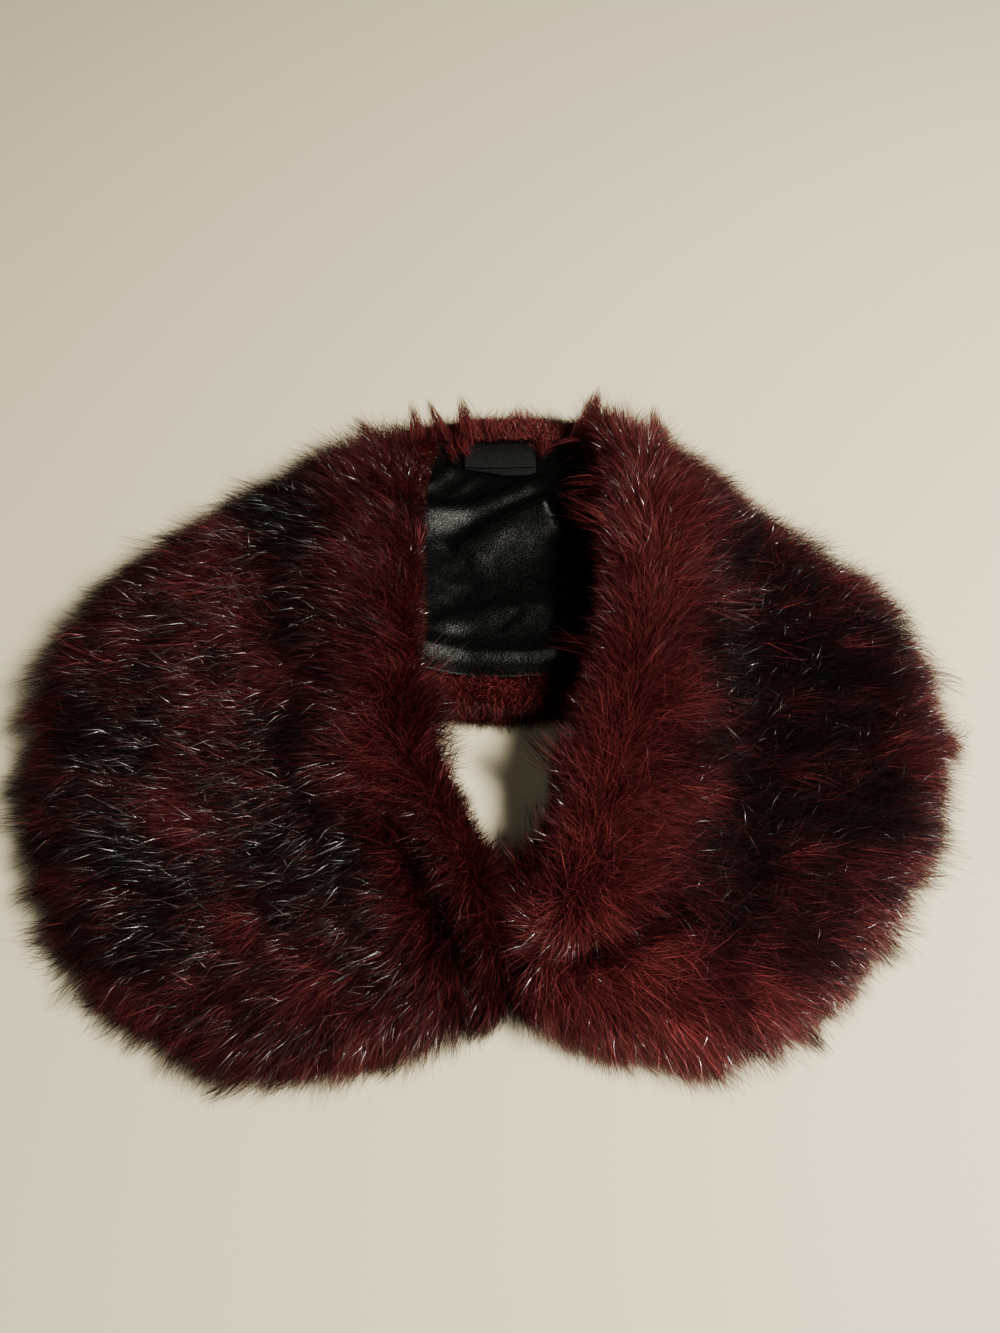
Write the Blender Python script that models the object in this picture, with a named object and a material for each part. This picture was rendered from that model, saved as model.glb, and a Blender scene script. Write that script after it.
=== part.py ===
"""A fur collar wrap, laid on its back on a table as it is worn.

The back stretch lies fur down with its lining up. The band folds over at both shoulders, and the two
fronts lie on it fur up and meet at the centre front. X is to the wearer's left, as seen from above,
Y goes from the front hem to the back neck edge, and Z is up. The origin is on the table, under the
middle of the whole collar. Lengths in the tables are millimetres, and MM turns them into metres.
"""

from collections import namedtuple
from math import cos, exp, hypot, pi, sin, sqrt

import bmesh
import bpy

MM = 0.001

# Thicknesses
FUR_WALL = 23.0
BACK_WALL = 16.0
TURNED_IN_WALL = 3.0
SATIN = 1.0
LABEL_LAYER = 1.2
SEAM_GAP = 0.3

# Shape of a front, across the band from its neck edge to its outer edge
NECK_ROLL = 13.0
RIM_FALL = 62.0
HOLLOW = 60.0
HOLLOW_FOOT = 6.0
FULL_WIDTH = 78.0
TUCK = 8.0

# How many points and sections the walls have
NECK_STEPS = 6
TOP_STEPS = 9
EDGE_STEPS = 5
TUCK_STEPS = 2
UNDER_STEPS = 2
HOLLOW_STEPS = 8
SECTIONS_BETWEEN_ROWS = 2
SECTIONS_AT_AN_END = 4
LEAST_FULLNESS = 0.3

# Turned-in fur along the back's neck edge and hem, and the satin panel between them
NECK_TURNING = 22.0
HEM_TURNING = 20.0
MOST_OF_DEPTH_TURNED_IN = 0.42
TURNED_IN_SLOPE = 0.4
BACK_EDGE_ROUND = 9.0
MOST_OF_DEPTH_ROUND = 0.35
BACK_EDGE_LOW = 0.3
PANEL_SIDE_INSET = 20.0
PANEL_END_GAP = 1.2

# The folded strip at the centre of the back neck edge
LABEL_MIDDLE_X = 5.0
LABEL_WIDTH = 37.0
LABEL_DEPTH = 15.5
LABEL_FAR_Y = 145.0

# One row for each section across a front: where it starts at the neck edge, where it ends at the fold
# or hem, the height of the rolled neck edge, the height of the wall's top behind it, the height and the
# width of the rounding at the outer edge, and the height of what the hollow's foot lies on
Front = namedtuple("Front", "neck_x neck_y edge_x edge_y rim body side_z side_width foot")

LEFT_FRONT = [
    Front(-27, 141, -31, 161, 33, 31, 15, 9, 12),
    Front(-30, 128, -58, 150, 41, 37, 17, 16, 14),
    Front(-31, 112, -84, 141, 47, 40, 18, 20, 16),
    Front(-31, 92, -121, 114, 51, 42, 18, 22, 16),
    Front(-30, 70, -150, 90, 53, 42, 18, 24, 16),
    Front(-29, 48, -182, 64, 53, 41, 17, 27, 16),
    Front(-29, 26, -205, 36, 52, 38, 14, 31, 16),
    Front(-29, 5, -216, 2, 50, 34, 10, 35, 16),
    Front(-25, -16, -215, -40, 48, 31, 8, 38, 4),
    Front(-19, -34, -203, -84, 45, 29, 7, 40, 0),
    Front(-12, -50, -178, -124, 42, 28, 7, 40, 0),
    Front(-6, -62, -141, -155, 40, 28, 7, 40, 0),
    Front(-1, -71, -92, -170, 37, 28, 7, 38, 0),
    Front(4, -78, -47, -162, 34, 27, 7, 32, 0),
    Front(7, -83, -17, -153, 31, 26, 7, 26, 0),
    Front(9.75, -86, 8.9, -148, 28, 25, 8, 20, 0),
]

RIGHT_FRONT = [
    Front(46, 143, 50, 164, 34, 32, 15, 9, 12),
    Front(49, 130, 74, 160, 43, 38, 17, 16, 14),
    Front(50, 114, 98, 147, 49, 41, 18, 20, 16),
    Front(50, 95, 123, 124, 53, 43, 18, 22, 16),
    Front(50, 72, 149, 92, 55, 43, 18, 24, 16),
    Front(49, 50, 170, 72, 55, 41, 17, 27, 16),
    Front(47, 28, 198, 52, 54, 38, 14, 31, 16),
    Front(43, 6, 214, 12, 52, 34, 10, 35, 16),
    Front(36, -14, 216, -34, 49, 31, 8, 38, 4),
    Front(29, -32, 203, -70, 46, 29, 7, 40, 0),
    Front(26, -48, 181, -103, 43, 28, 7, 40, 0),
    Front(23, -60, 151, -139, 40, 28, 7, 40, 0),
    Front(20, -70, 113, -161, 37, 28, 7, 38, 0),
    Front(16, -77, 71, -162, 34, 27, 7, 32, 0),
    Front(13, -82, 37, -153, 31, 26, 7, 26, 0),
    Front(10.05, -86, 10.9, -147, 28, 25, 8, 20, 0),
]

# One row for each section of the back stretch, from the left shoulder fold to the right one: the near
# end of the section at the hem and its far end at the fold or the neck edge
Back = namedtuple("Back", "x hem_y far_y")

BACK = [
    Back(-157, 46, 62),
    Back(-140, 29, 80),
    Back(-118, 14, 100),
    Back(-94, 5, 119),
    Back(-70, -2, 136),
    Back(-50, -6, 152),
    Back(-34, -8, 163),
    Back(-15, -10, 168),
    Back(5, -11, 170),
    Back(25, -10, 170),
    Back(44, -8, 168),
    Back(60, -5, 162),
    Back(78, 0, 147),
    Back(100, 9, 126),
    Back(122, 22, 103),
    Back(142, 38, 82),
    Back(156, 52, 67),
]

# The lining's folds: a soft ridge along a curve from start to end, bent towards bend
Fold = namedtuple("Fold", "start_x start_y bend_x bend_y end_x end_y height width")

LINING_FOLDS = [
    Fold(-42, 95, 2, 97, 25, 120, 4.6, 4.5),
    Fold(-34, 17, -2, 14, 32, 18, 4.2, 4.0),
    Fold(-14, 80, 12, 88, 34, 78, 1.9, 8.0),
    Fold(-12, 54, 8, 44, 32, 42, 1.4, 5.0),
    Fold(-30, 128, -16, 118, -6, 112, 1.6, 4.0),
]
FOLD_SAMPLES = 14
LINING_FLAT_FROM = (-46.0, 64.0)
LINING_FADE = 12.0
LINING_ROWS = 24
LINING_STEP = 6.5
LINING_STEP_UNDER_FRONTS = 22.0

# Where a front's own lining shows below its neck roll: the first and last section, counted in table
# rows, and the first and last of the hollow's steps that it covers
FRONT_LINING_ROWS = (3, 9)
FRONT_LINING_STEPS = (1, 4)

COLOURS = {
    "fur": (0.115, 0.012, 0.010, 1.0),
    "fur_back": (0.090, 0.011, 0.010, 1.0),
    "satin": (0.008, 0.009, 0.011, 1.0),
    "label": (0.006, 0.006, 0.007, 1.0),
}
ROUGHNESS = {"fur": 0.75, "fur_back": 0.75, "satin": 0.32, "label": 0.7}


def ease(t):
    """Goes smoothly from 0 to 1 as t does, and stays at 0 or 1 outside."""
    t = min(1.0, max(0.0, t))
    return t * t * (3.0 - 2.0 * t)


def spline_value(before, start, end, after, t):
    """A smooth curve through start and end, which leaves and arrives in line with its neighbours."""
    slope = (end - before) / 2.0
    next_slope = (after - start) / 2.0
    bend = 3.0 * (end - start) - 2.0 * slope - next_slope
    twist = 2.0 * (start - end) + slope + next_slope
    return start + slope * t + bend * t * t + twist * t * t * t


def row_at(table, place):
    """A row of the table at a place counted in rows, smoothly between the rows on each side."""
    last = len(table) - 1
    index = min(int(place), last - 1)
    t = place - index
    before = table[max(index - 1, 0)]
    after = table[min(index + 2, last)]
    columns = zip(before, table[index], table[index + 1], after)
    return type(table[0])(*[spline_value(*values, t) for values in columns])


def front_places(rows):
    """Where along a front its sections lie, counted in table rows and closer together at both ends."""
    last = rows - 1
    places = [i / SECTIONS_AT_AN_END for i in range(SECTIONS_AT_AN_END)]
    middle = (last - 2) * SECTIONS_BETWEEN_ROWS
    places += [1.0 + i / SECTIONS_BETWEEN_ROWS for i in range(middle)]
    places += [last - 1.0 + i / SECTIONS_AT_AN_END for i in range(SECTIONS_AT_AN_END + 1)]
    return places


def fullness(place, rows):
    """How much of its height a section keeps, so that a front ends in a rounded edge."""
    last = rows - 1
    outside = max(0.0, 1.0 - place, place - (last - 1.0))
    return LEAST_FULLNESS + (1.0 - LEAST_FULLNESS) * sqrt(max(0.0, 1.0 - outside * outside))


def hollow_height(row, t):
    """The height of a front's underside over the hollow, from its neck edge at 0 to its foot at 1."""
    foot = max(0.0, row.foot)
    top = max(row.rim - FUR_WALL, foot)
    return foot + (top - foot) * ease(1.0 - t)


def section_width(row):
    """The width of a front's section, and the share of the full widths that a narrow one uses."""
    width = hypot(row.edge_x - row.neck_x, row.edge_y - row.neck_y)
    return width, min(1.0, width / FULL_WIDTH)


def front_profile(row):
    """Distance from the neck edge and height, all round a front's wall."""
    width, share = section_width(row)
    roll = NECK_ROLL * share
    hollow = HOLLOW * share
    fall = RIM_FALL * share
    side = min(row.side_width, width - roll - 1.0)
    tuck = min(TUCK, side / 2.0)
    half_wall = min(FUR_WALL, row.rim) / 2.0
    points = []
    for i in range(NECK_STEPS):
        angle = -pi / 2 + pi * i / NECK_STEPS
        points.append((roll - roll * cos(angle), row.rim - half_wall + half_wall * sin(angle)))
    top_end = width - side
    for i in range(TOP_STEPS):
        distance = roll + (top_end - roll) * i / TOP_STEPS
        height = row.body + (row.rim - row.body) * ease(1.0 - (distance - roll) / fall)
        points.append((distance, height))
    for i in range(EDGE_STEPS + 1):
        angle = pi / 2 - pi / 2 * i / EDGE_STEPS
        distance = width - side + side * cos(angle)
        points.append((distance, row.side_z + (row.body - row.side_z) * sin(angle)))
    for i in range(1, TUCK_STEPS + 1):
        angle = -pi / 2 * i / TUCK_STEPS
        points.append((width - tuck + tuck * cos(angle), row.side_z + row.side_z * sin(angle)))
    foot_end = min(hollow + HOLLOW_FOOT * share, width - tuck - 1.0)
    for i in range(1, UNDER_STEPS + 1):
        distance = width - tuck + (foot_end - width + tuck) * i / UNDER_STEPS
        points.append((distance, 0.0))
    for i in range(HOLLOW_STEPS):
        t = 1.0 - i / HOLLOW_STEPS
        distance = roll + (min(hollow, foot_end - 1.0) - roll) * t
        points.append((distance, hollow_height(row, t)))
    return points


def place_profile(row, profile, keep=1.0):
    """The profile's points in space, pressed together to keep times their height about the wall."""
    width, _ = section_width(row)
    along_x = (row.edge_x - row.neck_x) / width
    along_y = (row.edge_y - row.neck_y) / width
    middle = min(row.body, FUR_WALL) / 2.0 + max(0.0, row.rim - FUR_WALL) / 2.0
    points = []
    for distance, height in profile:
        z = middle + (height - middle) * keep
        points.append((row.neck_x + along_x * distance, row.neck_y + along_y * distance, z))
    return points


def back_row_at(x):
    """The back stretch's section at x, found by halving the table's range."""
    low, high = 0.0, len(BACK) - 1.0
    while high - low > 0.0001:
        middle = (low + high) / 2.0
        if row_at(BACK, middle).x < x:
            low = middle
        else:
            high = middle
    return row_at(BACK, low)


def turned_in(row):
    """How far the fur is turned in over the hem and over the neck edge of a section of the back."""
    most = (row.far_y - row.hem_y) * MOST_OF_DEPTH_TURNED_IN
    return min(HEM_TURNING, most), min(NECK_TURNING, most)


def back_profile(row, grow, lining_room):
    """Y and height, all round the back stretch, grown by a gap where another piece lies round it."""
    hem = row.hem_y - grow
    far = row.far_y + grow
    rounding = min(BACK_EDGE_ROUND, (row.far_y - row.hem_y) * MOST_OF_DEPTH_ROUND)
    flat = BACK_WALL + lining_room
    raised = BACK_WALL + TURNED_IN_WALL + grow
    low = raised * BACK_EDGE_LOW
    hem_strip, far_strip = turned_in(row)
    hem_strip += 2.0 * grow
    far_strip += 2.0 * grow
    edge = []
    for i in range(1, 4):
        angle = pi / 2 * i / 4
        edge.append((rounding * (1.0 - cos(angle)), low + (raised - low) * sin(angle)))
    panel_hem = hem + hem_strip + TURNED_IN_SLOPE
    panel_far = far - far_strip - TURNED_IN_SLOPE
    points = [(hem + rounding / 2, -grow), (hem, low)]
    points += [(hem + inward, height) for inward, height in edge]
    points += [(hem + rounding, raised), (hem + hem_strip, raised)]
    points += [(panel_hem + (panel_far - panel_hem) * i / 4, flat) for i in range(5)]
    points += [(far - far_strip, raised), (far - rounding, raised)]
    points += [(far - inward, height) for inward, height in reversed(edge)]
    points += [(far, low), (far - rounding / 2, -grow), ((hem + far) / 2, -grow)]
    return points


def fold_height(x, y):
    """How far the lining's folds lift it off the back stretch at a point."""
    lift = 0.0
    for fold in LINING_FOLDS:
        nearest = min(
            hypot(x - fold_x, y - fold_y) + edge
            for fold_x, fold_y, edge in fold_curve(fold)
        )
        lift = max(lift, fold.height * exp(-0.5 * (nearest / fold.width) ** 2))
    from_left = ease((x - LINING_FLAT_FROM[0]) / LINING_FADE)
    from_right = ease((LINING_FLAT_FROM[1] - x) / LINING_FADE)
    return lift * from_left * from_right


def fold_curve(fold):
    """Points along a fold's ridge, each with a distance that makes the ridge fade near its ends."""
    points = []
    for i in range(FOLD_SAMPLES + 1):
        t = i / FOLD_SAMPLES
        x = (1 - t) ** 2 * fold.start_x + 2 * t * (1 - t) * fold.bend_x + t * t * fold.end_x
        y = (1 - t) ** 2 * fold.start_y + 2 * t * (1 - t) * fold.bend_y + t * t * fold.end_y
        fade = fold.width * 1.2 * max(0.0, abs(2 * t - 1) - 0.6) / 0.4
        points.append((x, y, fade))
    return points


def lining_top(x, y):
    """The height of the lining's upper face over the back stretch."""
    return BACK_WALL + SEAM_GAP + SATIN + fold_height(x, y)


def make_material(name, kind):
    """A plain material with the colour and roughness of one kind of cloth."""
    material = bpy.data.materials.new(name)
    material.use_nodes = True
    shader = material.node_tree.nodes["Principled BSDF"]
    shader.inputs["Base Color"].default_value = COLOURS[kind]
    shader.inputs["Roughness"].default_value = ROUGHNESS[kind]
    shader.inputs["Metallic"].default_value = 0.0
    material.diffuse_color = COLOURS[kind]
    return material


def closed_loft(name, loops, kind):
    """One closed body through loops of as many points each, with both ends closed by a fan."""
    mesh = bpy.data.meshes.new(name)
    builder = bmesh.new()
    rings = [[builder.verts.new([c * MM for c in point]) for point in loop] for loop in loops]
    count = len(rings[0])
    for ring, following in zip(rings, rings[1:]):
        for i in range(count):
            j = (i + 1) % count
            builder.faces.new((ring[i], ring[j], following[j], following[i]))
    for ring in (rings[0], rings[-1]):
        middle = builder.verts.new([sum(v.co[axis] for v in ring) / count for axis in range(3)])
        for i in range(count):
            builder.faces.new((ring[i], ring[(i + 1) % count], middle))
    bmesh.ops.recalc_face_normals(builder, faces=builder.faces)
    bmesh.ops.triangulate(builder, faces=builder.faces)
    builder.to_mesh(mesh)
    builder.free()
    mesh.materials.append(make_material(name + "_" + kind, kind))
    mesh.shade_smooth()
    piece = bpy.data.objects.new(name, mesh)
    bpy.context.scene.collection.objects.link(piece)
    return piece


def make_front(name, table, room_for_back):
    """A front: a thick fur wall with a rolled neck edge, hollow under it, cut to lie on the back."""
    loops = []
    for place in front_places(len(table)):
        row = row_at(table, place)
        loops.append(place_profile(row, front_profile(row), fullness(place, len(table))))
    front = closed_loft(name, loops, "fur")
    cut = front.modifiers.new("lies_on_back", "BOOLEAN")
    cut.operation = "DIFFERENCE"
    cut.solver = "EXACT"
    cut.object = room_for_back
    return front


def make_back(name, grow=0.0, lining_room=0.0):
    """The back stretch, with its fur turned in along the neck edge and the hem."""
    loops = []
    for place in range(2 * (len(BACK) - 1) + 1):
        row = row_at(BACK, place / 2)
        loops.append([(row.x, y, z) for y, z in back_profile(row, grow, lining_room)])
    if grow:
        for loop, outward in ((loops[0], -grow), (loops[-1], grow)):
            loop[:] = [(x + outward, y, z) for x, y, z in loop]
    return closed_loft(name, loops, "fur_back")


def lining_columns():
    """Where the lining's sections lie: close together where it shows, and further apart under the fronts."""
    low = BACK[0].x + PANEL_SIDE_INSET
    high = BACK[-1].x - PANEL_SIDE_INSET
    shown_low, shown_high = LINING_FLAT_FROM
    columns = []
    steps = max(1, round((shown_low - low) / LINING_STEP_UNDER_FRONTS))
    columns += [low + (shown_low - low) * i / steps for i in range(steps)]
    steps = round((shown_high - shown_low) / LINING_STEP)
    columns += [shown_low + (shown_high - shown_low) * i / steps for i in range(steps)]
    steps = max(1, round((high - shown_high) / LINING_STEP_UNDER_FRONTS))
    columns += [shown_high + (high - shown_high) * i / steps for i in range(steps + 1)]
    return columns


def make_back_lining(name):
    """The satin panel on the back stretch, lifted into its folds where it shows between the fronts."""
    loops = []
    for x in lining_columns():
        row = back_row_at(x)
        hem_strip, far_strip = turned_in(row)
        low = row.hem_y + hem_strip + PANEL_END_GAP
        high = row.far_y - far_strip - PANEL_END_GAP
        ys = [low + (high - low) * i / (LINING_ROWS - 1) for i in range(LINING_ROWS)]
        top = [(x, y, lining_top(x, y)) for y in ys]
        under = [(x, y, z - SATIN) for _, y, z in reversed(top)]
        loops.append(top + under)
    return closed_loft(name, loops, "satin")


def make_front_lining(name, table):
    """The satin under a front's neck roll, made from the wall's own underside, moved out."""
    loops = []
    first, last = FRONT_LINING_ROWS
    low, high = FRONT_LINING_STEPS
    for i in range(SECTIONS_BETWEEN_ROWS * (last - first) + 1):
        row = row_at(table, first + i / SECTIONS_BETWEEN_ROWS)
        _, share = section_width(row)
        profile = []
        for step in range(low, high + 1):
            t = step / HOLLOW_STEPS
            distance = (NECK_ROLL + (HOLLOW - NECK_ROLL) * t) * share
            profile.append((distance, hollow_height(row, t) - 2 * SEAM_GAP))
        under = [(distance, height - SATIN) for distance, height in reversed(profile)]
        loops.append(place_profile(row, profile + under))
    return closed_loft(name, loops, "satin")


def make_label(name):
    """A woven strip folded in two, with a slit between its layers at the near edge."""
    loops = []
    half = LABEL_WIDTH / 2
    layer = LABEL_LAYER
    for i in range(9):
        x = LABEL_MIDDLE_X - half + LABEL_WIDTH * i / 8
        bow = 1.0 - (2.0 * i / 8 - 1.0) ** 2
        near = LABEL_FAR_Y - LABEL_DEPTH - 0.8 * bow
        middle = (near + LABEL_FAR_Y) / 2
        base = max(lining_top(x, y) for y in (near - 3, near, middle, LABEL_FAR_Y)) + SEAM_GAP
        lift = 0.6 * bow
        loops.append([
            (x, near, base + lift),
            (x, near, base + lift + layer * 0.8),
            (x, near + 1.6, base + lift + layer),
            (x, near + 1.6, base + lift + layer * 1.15),
            (x, near - 0.6, base + lift + layer * 1.3),
            (x, near - 0.6, base + lift + layer * 1.9),
            (x, near + 1.0, base + lift + layer * 2.1),
            (x, middle, base + lift + layer * 2.1),
            (x, LABEL_FAR_Y, base + layer * 1.7),
            (x, LABEL_FAR_Y, base),
            (x, middle, base + lift * 0.5),
        ])
    return closed_loft(name, loops, "label")


def build():
    """All the collar's pieces."""
    make_back("fur_back")
    room = make_back("room_for_back", SEAM_GAP, 2 * SEAM_GAP + SATIN)
    room.hide_render = True
    room.display_type = "WIRE"
    make_front("fur_front_left", LEFT_FRONT, room)
    make_front("fur_front_right", RIGHT_FRONT, room)
    make_back_lining("lining_back")
    make_front_lining("lining_left", LEFT_FRONT)
    make_front_lining("lining_right", RIGHT_FRONT)
    make_label("neck_label")


for old in list(bpy.data.objects):
    bpy.data.objects.remove(old)
build()
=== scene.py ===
"""The looks of the fur collar wrap: skins, hair, satin, woven tape, camera, light and table."""

from collections import namedtuple
from math import cos, hypot, pi, radians, sin, sqrt

import bmesh
import bpy
import numpy as np
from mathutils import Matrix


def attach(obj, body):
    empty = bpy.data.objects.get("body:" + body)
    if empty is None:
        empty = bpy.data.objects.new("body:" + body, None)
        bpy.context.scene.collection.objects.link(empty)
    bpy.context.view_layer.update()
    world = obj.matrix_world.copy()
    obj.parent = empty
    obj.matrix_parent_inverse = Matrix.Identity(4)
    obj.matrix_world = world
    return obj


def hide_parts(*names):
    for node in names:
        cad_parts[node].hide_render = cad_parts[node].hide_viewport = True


MM = 0.001

# Camera, placed as the photograph was taken
CAMERA_AT = (0.005, -0.206, 0.43)
CAMERA_TILT = 28.0
CAMERA_LENS = 27.0
CAMERA_SENSOR = 36.0

# Sizes shared with the solids, in millimetres
FUR_WALL = 23.0
BACK_WALL = 16.0
TURNED_IN_WALL = 3.0
SATIN = 1.0
LABEL_LAYER = 1.2
SEAM_GAP = 0.3
NECK_ROLL = 13.0
RIM_FALL = 62.0
HOLLOW = 60.0
HOLLOW_FOOT = 6.0
FULL_WIDTH = 78.0
TUCK = 8.0
LEAST_FULLNESS = 0.3
NECK_TURNING = 22.0
HEM_TURNING = 20.0
MOST_OF_DEPTH_TURNED_IN = 0.42
LABEL_MIDDLE_X = 5.0
LABEL_WIDTH = 37.0
LABEL_DEPTH = 15.5
LABEL_FAR_Y = 145.0

# How far the skin that the hair grows from lies inside the solids
SKIN_BELOW = 8.5
SKIN_EDGE_INSET = 17.0
SKIN_CENTRE_INSET = 11.0
CENTRE_SEAM_X = 10.0
CENTRE_REACH = 110.0
SKIN_NECK_INSET = 3.0
SKIN_WALL = 15.0
BACK_SKIN_INSET = 9.0
ROOM_MARGIN = 3.0
# The lowest that a skin reaches over the table
CLEAR_OF_TABLE = 0.6

Front = namedtuple("Front", "neck_x neck_y edge_x edge_y rim body side_z side_width foot")
LEFT_FRONT = [Front(*row) for row in (
    (-27, 141, -31, 161, 33, 31, 15, 9, 12),
    (-30, 128, -58, 150, 41, 37, 17, 16, 14),
    (-31, 112, -84, 141, 47, 40, 18, 20, 16),
    (-31, 92, -121, 114, 51, 42, 18, 22, 16),
    (-30, 70, -150, 90, 53, 42, 18, 24, 16),
    (-29, 48, -182, 64, 53, 41, 17, 27, 16),
    (-29, 26, -205, 36, 52, 38, 14, 31, 16),
    (-29, 5, -216, 2, 50, 34, 10, 35, 16),
    (-25, -16, -215, -40, 48, 31, 8, 38, 4),
    (-19, -34, -203, -84, 45, 29, 7, 40, 0),
    (-12, -50, -178, -124, 42, 28, 7, 40, 0),
    (-6, -62, -141, -155, 40, 28, 7, 40, 0),
    (-1, -71, -92, -170, 37, 28, 7, 38, 0),
    (4, -78, -47, -162, 34, 27, 7, 32, 0),
    (7, -83, -17, -153, 31, 26, 7, 26, 0),
    (9.75, -86, 8.9, -148, 28, 25, 8, 20, 0),
)]
RIGHT_FRONT = [Front(*row) for row in (
    (46, 143, 50, 164, 34, 32, 15, 9, 12),
    (49, 130, 74, 160, 43, 38, 17, 16, 14),
    (50, 114, 98, 147, 49, 41, 18, 20, 16),
    (50, 95, 123, 124, 53, 43, 18, 22, 16),
    (50, 72, 149, 92, 55, 43, 18, 24, 16),
    (49, 50, 170, 72, 55, 41, 17, 27, 16),
    (47, 28, 198, 52, 54, 38, 14, 31, 16),
    (43, 6, 214, 12, 52, 34, 10, 35, 16),
    (36, -14, 216, -34, 49, 31, 8, 38, 4),
    (29, -32, 203, -70, 46, 29, 7, 40, 0),
    (26, -48, 181, -103, 43, 28, 7, 40, 0),
    (23, -60, 151, -139, 40, 28, 7, 40, 0),
    (20, -70, 113, -161, 37, 28, 7, 38, 0),
    (16, -77, 71, -162, 34, 27, 7, 32, 0),
    (13, -82, 37, -153, 31, 26, 7, 26, 0),
    (10.05, -86, 10.9, -147, 28, 25, 8, 20, 0),
)]
Back = namedtuple("Back", "x hem_y far_y")
BACK = [Back(*row) for row in (
    (-157, 46, 62),
    (-140, 29, 80),
    (-118, 14, 100),
    (-94, 5, 119),
    (-70, -2, 136),
    (-50, -6, 152),
    (-34, -8, 163),
    (-15, -10, 168),
    (5, -11, 170),
    (25, -10, 170),
    (44, -8, 168),
    (60, -5, 162),
    (78, 0, 147),
    (100, 9, 126),
    (122, 22, 103),
    (142, 38, 82),
    (156, 52, 67),
)]
Drape = namedtuple("Drape", "start_x start_y bend_x bend_y end_x end_y height height_end near near_end far")
DRAPES = [Drape(*row) for row in (
    (-50, 98, -2, 99, 30, 126, 5.2, 2.2, 9.0, 3.6, 3.6),
    (-20, 72, 4, 97, 37, 108, 4.0, 7.6, 9.0, 13.0, 3.6),
    (-30, 31, -2, 50, 34, 46, 1.8, 1.8, 6.0, 8.0, 3.0),
    (3, 31, 9, 37, 18, 45, -0.6, -0.6, 0.9, 0.9, 5.0),
    (-48, 27, -2, 16, 42, 23, 2.3, 2.3, 2.6, 2.6, 3.4),
    (-6, 127, -13, 119, -22, 108, 0.8, 0.8, 2.4, 2.4, 2.0),
    (-17, 132, -24, 124, -36, 112, 0.9, 0.9, 2.6, 2.6, 2.2),
    (24, 100, 31, 108, 36, 120, 1.4, 1.4, 2.6, 2.6, 2.6),
)]
DRAPE_SAMPLES = 60
# The lining rises to the left, up under the left rim, and is flat again farther in
LEFT_RISE = 6.5
LEFT_RISE_FROM = -8.0
LEFT_RISE_OVER = 34.0
LINING_FLAT_FROM = (-66.0, 64.0)
LINING_FADE = (22.0, 12.0)

# Where the fur is darker (amount above 0) or redder (below 0) than its surroundings
Patch = namedtuple("Patch", "x y radius amount")
TONES = [Patch(*row) for row in (
    (-163, -28, 18, 0.45),
    (-137, -85, 16, 0.55),
    (-121, -66, 13, -0.60),
    (-115, 50, 20, -0.15),
    (-196, -5, 12, -0.30),
    (-60, 22, 22, 0.55),
    (-74, 68, 18, 0.42),
    (-72, -34, 18, 0.40),
    (-56, -66, 20, 0.40),
    (-46, -107, 12, 0.35),
    (-96, 100, 16, 0.15),
    (-120, -150, 24, -0.25),
    (-60, -140, 28, -0.25),
    (118, 66, 26, 0.02),
    (112, 18, 28, 0.50),
    (98, -34, 14, 0.35),
    (138, -14, 36, 0.55),
    (165, 22, 24, 0.45),
    (88, -78, 16, 0.45),
    (112, -60, 28, 0.40),
    (98, -106, 18, 0.50),
    (124, -112, 18, 0.40),
    (152, -62, 28, 0.40),
    (200, 40, 16, -0.30),
    (206, 0, 18, -0.40),
    (206, -42, 16, -0.35),
    (70, -136, 24, -0.50),
    (120, -148, 22, -0.40),
    (34, -112, 18, -0.40),
    (186, -88, 16, -0.35),
)]
# Where the fur's colour is deeper (amount below 0) or paler (above 0)
SHADES = [Patch(*row) for row in (
    (-54, 100, 28, -0.10),
    (-54, 52, 28, -0.06),
    (-50, 6, 28, -0.14),
    (4, -110, 26, -0.30),
    (120, 10, 40, -0.25),
    (150, -30, 40, -0.20),
    (74, 96, 26, -0.20),
    (70, 48, 28, -0.18),
    (60, -2, 26, -0.32),
    (52, -44, 26, -0.26),
    (6, -78, 26, -0.22),
    (84, -134, 40, 0.36),
    (150, -116, 30, 0.26),
    (-40, -100, 30, 0.10),
)]


def patched(table, x, y):
    """The sum of a table's round soft patches, for arrays of places."""
    total = np.zeros(np.shape(x))
    for patch in table:
        reach = ((x - patch.x) ** 2 + (y - patch.y) ** 2) / patch.radius ** 2
        total = total + patch.amount * np.exp(-reach)
    return total


def ease(t):
    """Goes smoothly from 0 to 1 as t does, for a number or an array."""
    t = np.clip(t, 0.0, 1.0)
    return t * t * (3.0 - 2.0 * t)


def spline_value(before, start, end, after, t):
    """A smooth curve through start and end, which leaves and arrives in line with its neighbours."""
    slope = (end - before) / 2.0
    next_slope = (after - start) / 2.0
    bend = 3.0 * (end - start) - 2.0 * slope - next_slope
    twist = 2.0 * (start - end) + slope + next_slope
    return start + slope * t + bend * t * t + twist * t * t * t


def row_at(table, place):
    """A row of the table at a place counted in rows, smoothly between the rows on each side."""
    last = len(table) - 1
    index = min(int(place), last - 1)
    t = place - index
    before = table[max(index - 1, 0)]
    after = table[min(index + 2, last)]
    columns = zip(before, table[index], table[index + 1], after)
    return type(table[0])(*[spline_value(*values, t) for values in columns])


def fullness(place, rows):
    """How much of its height a section keeps, so that a front ends in a rounded edge."""
    last = rows - 1
    outside = max(0.0, 1.0 - place, place - (last - 1.0))
    return LEAST_FULLNESS + (1.0 - LEAST_FULLNESS) * sqrt(max(0.0, 1.0 - outside * outside))


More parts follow.
